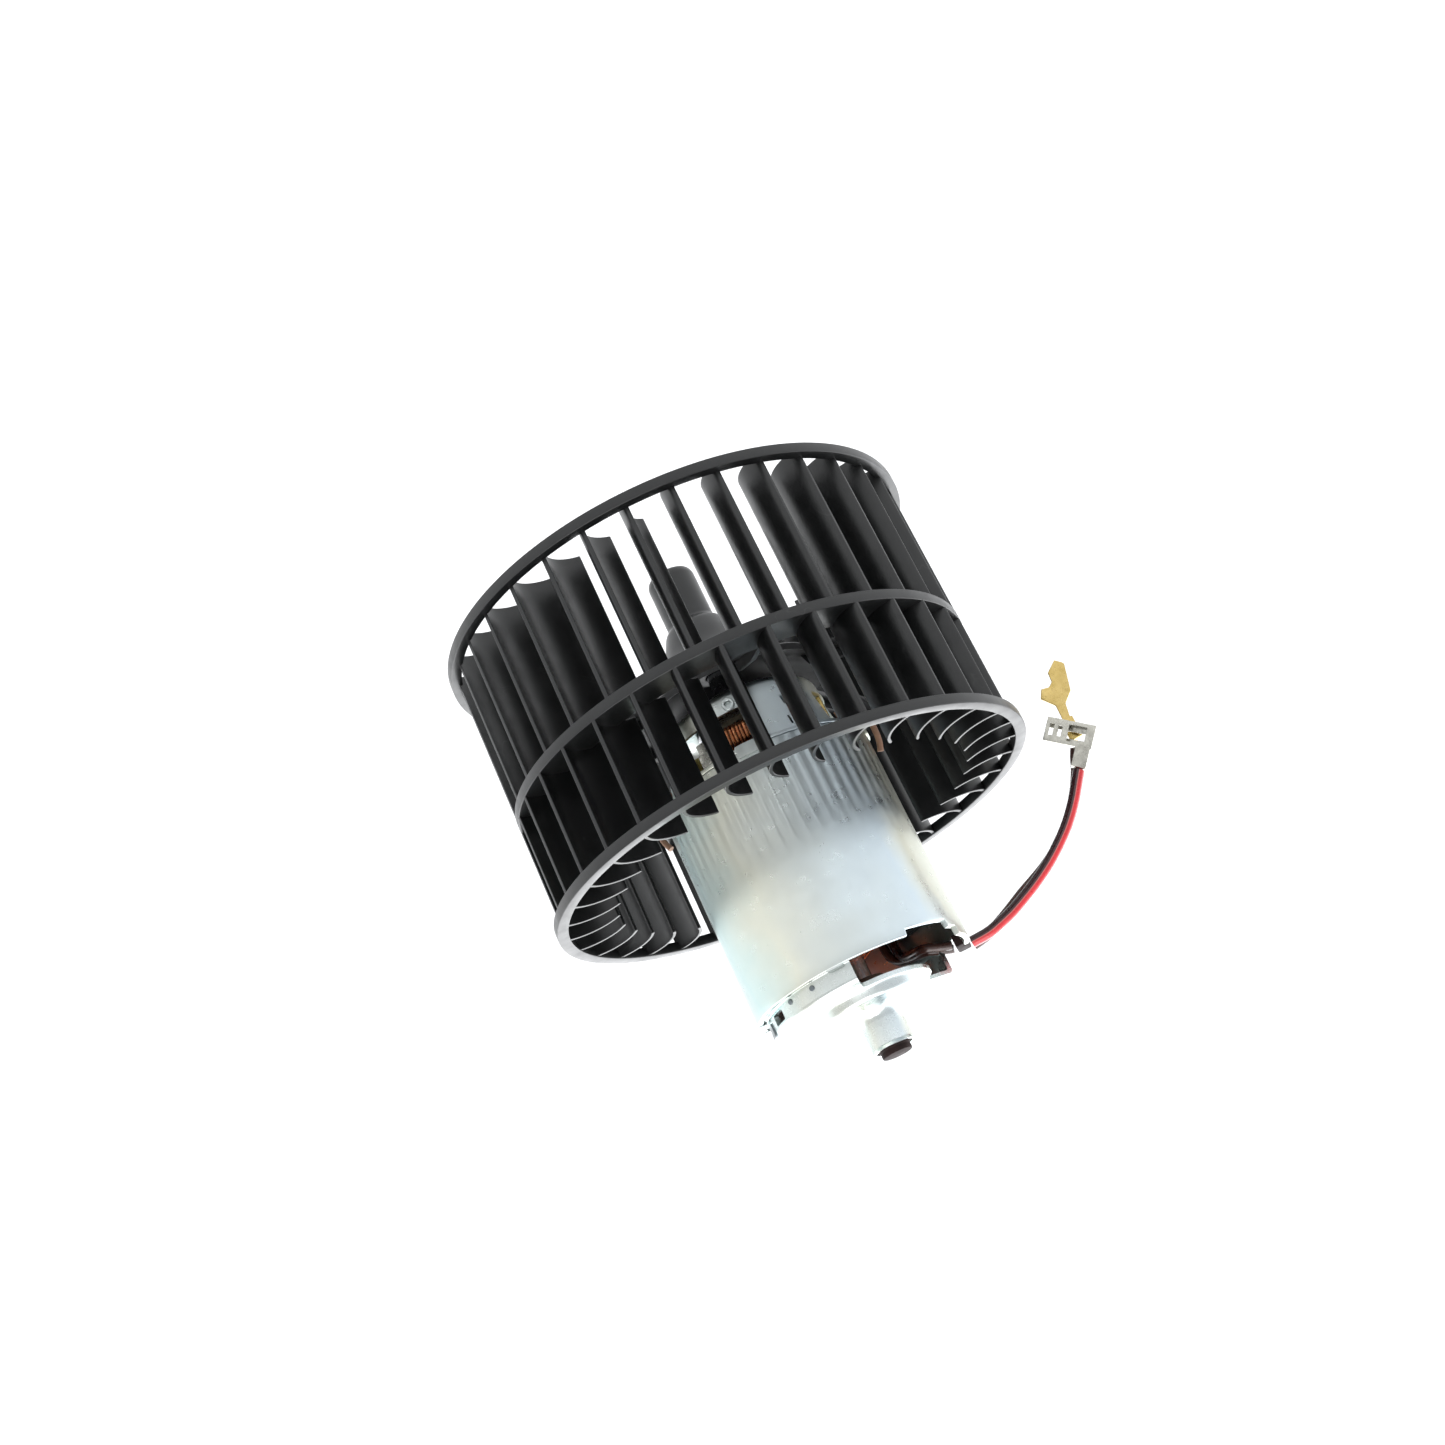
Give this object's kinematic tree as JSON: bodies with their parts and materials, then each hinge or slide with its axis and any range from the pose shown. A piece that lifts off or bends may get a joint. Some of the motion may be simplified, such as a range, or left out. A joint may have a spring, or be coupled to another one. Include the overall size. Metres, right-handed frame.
{
  "type": "blower motor wheel",
  "caption": "Vehicle heater blower: a double-row squirrel-cage fan wheel on a zinc-plated brushed DC motor with a red and a brown lead ending in push-on terminals.",
  "frame": {"origin": "on the axis of rotation, at the tip of the wheel's hub (the lowest point of the part as stored)", "axes": "+Z runs along the axis of rotation from the wheel's hub to the tail of the motor; the leads leave the motor on the -X side; -Y faces the viewer"},
  "size_m": [0.1655, 0.146, 0.1578],
  "materials": {
    "wheel_plastic": "moulded glass-filled polypropylene, satin, light scuffs on the edges",
    "zinc_plate": "bright zinc plate with a thin blue, green and yellow passivation shimmer",
    "dark_zinc": "darker passivated sheet steel",
    "shaft_steel": "ground bright steel",
    "spring_steel": "hardened strip steel, satin",
    "sintered_bronze": "oil-filled sintered bronze",
    "core_steel": "stacked varnished laminations",
    "enamel_copper": "enamelled copper wire, glossy orange-brown",
    "bar_copper": "drawn copper bar and braid",
    "ferrite": "fired ferrite ceramic, dull charcoal",
    "brass": "stamped brass, bright",
    "tin": "tin-plated brass strip",
    "carbon": "pressed copper-graphite brush block",
    "phenolic": "dark brown moulded phenolic",
    "black_rubber": "soft black rubber",
    "felt": "oil-soaked wool felt",
    "red_pvc": "red PVC wire insulation",
    "brown_pvc": "brown PVC wire insulation",
    "tan_sleeve": "tan varnished sleeve over the choke wire"
  },
  "bodies": {
    "case": {"motor_can": "zinc_plate", "front_bracket": "zinc_plate", "rear_end_cap": "zinc_plate", "rear_nose_plug": "black_rubber", "front_bearing": "sintered_bronze", "front_felt_wick": "felt", "front_bearing_retainer": "spring_steel", "rear_bearing": "sintered_bronze", "rear_felt_wick": "felt", "rear_bearing_retainer": "spring_steel", "magnet_a": "ferrite", "magnet_b": "ferrite", "magnet_clip_a": "dark_zinc", "magnet_clip_b": "dark_zinc", "brush_plate": "phenolic", "brush_holder_a": "brass", "brush_spring_a": "spring_steel", "brush_holder_b": "brass", "brush_spring_b": "spring_steel", "choke_core_a": "ferrite", "choke_coil_a": "enamel_copper", "choke_lead_a": "tan_sleeve", "choke_core_b": "ferrite", "choke_coil_b": "enamel_copper", "choke_lead_b": "tan_sleeve", "earth_tab": "tin", "lead_grommet": "black_rubber", "inner_lead_red": "red_pvc", "inner_lead_brown": "brown_pvc", "lead_red": "red_pvc", "lead_brown": "brown_pvc", "flag_receptacle": "tin", "tab_terminal": "brass"},
    "rotor": {"fan_wheel": "wheel_plastic", "hub_spring_clip": "spring_steel", "rotor_shaft": "shaft_steel", "front_thrust_washer": "phenolic", "rear_thrust_washer": "phenolic", "commutator_insulator": "phenolic", "commutator": "bar_copper", "commutator_risers": "bar_copper", "armature_core": "core_steel", "armature_winding_front": "enamel_copper", "armature_winding_rear": "enamel_copper"},
    "brush_a_block": {"brush_a": "carbon", "brush_shunt_a": "bar_copper"},
    "brush_b_block": {"brush_b": "carbon", "brush_shunt_b": "bar_copper"}
  },
  "joints": [
    {"name": "wheel_spin", "type": "hinge", "parent": "case", "child": "rotor", "pos_m": [0, 0, 0.07], "axis": [0, 0, 1], "continuous": true},
    {"name": "brush_slide_a", "type": "slide", "parent": "case", "child": "brush_a_block", "axis": [1, 0, 0], "range_m": [0, 0.003], "stiffness_N_per_m": 80, "springref_m": -0.02, "deforming": ["brush_spring_a"]},
    {"name": "brush_slide_b", "type": "slide", "parent": "case", "child": "brush_b_block", "axis": [-1, 0, 0], "range_m": [0, 0.003], "stiffness_N_per_m": 80, "springref_m": -0.02, "deforming": ["brush_spring_b"]}
  ]
}
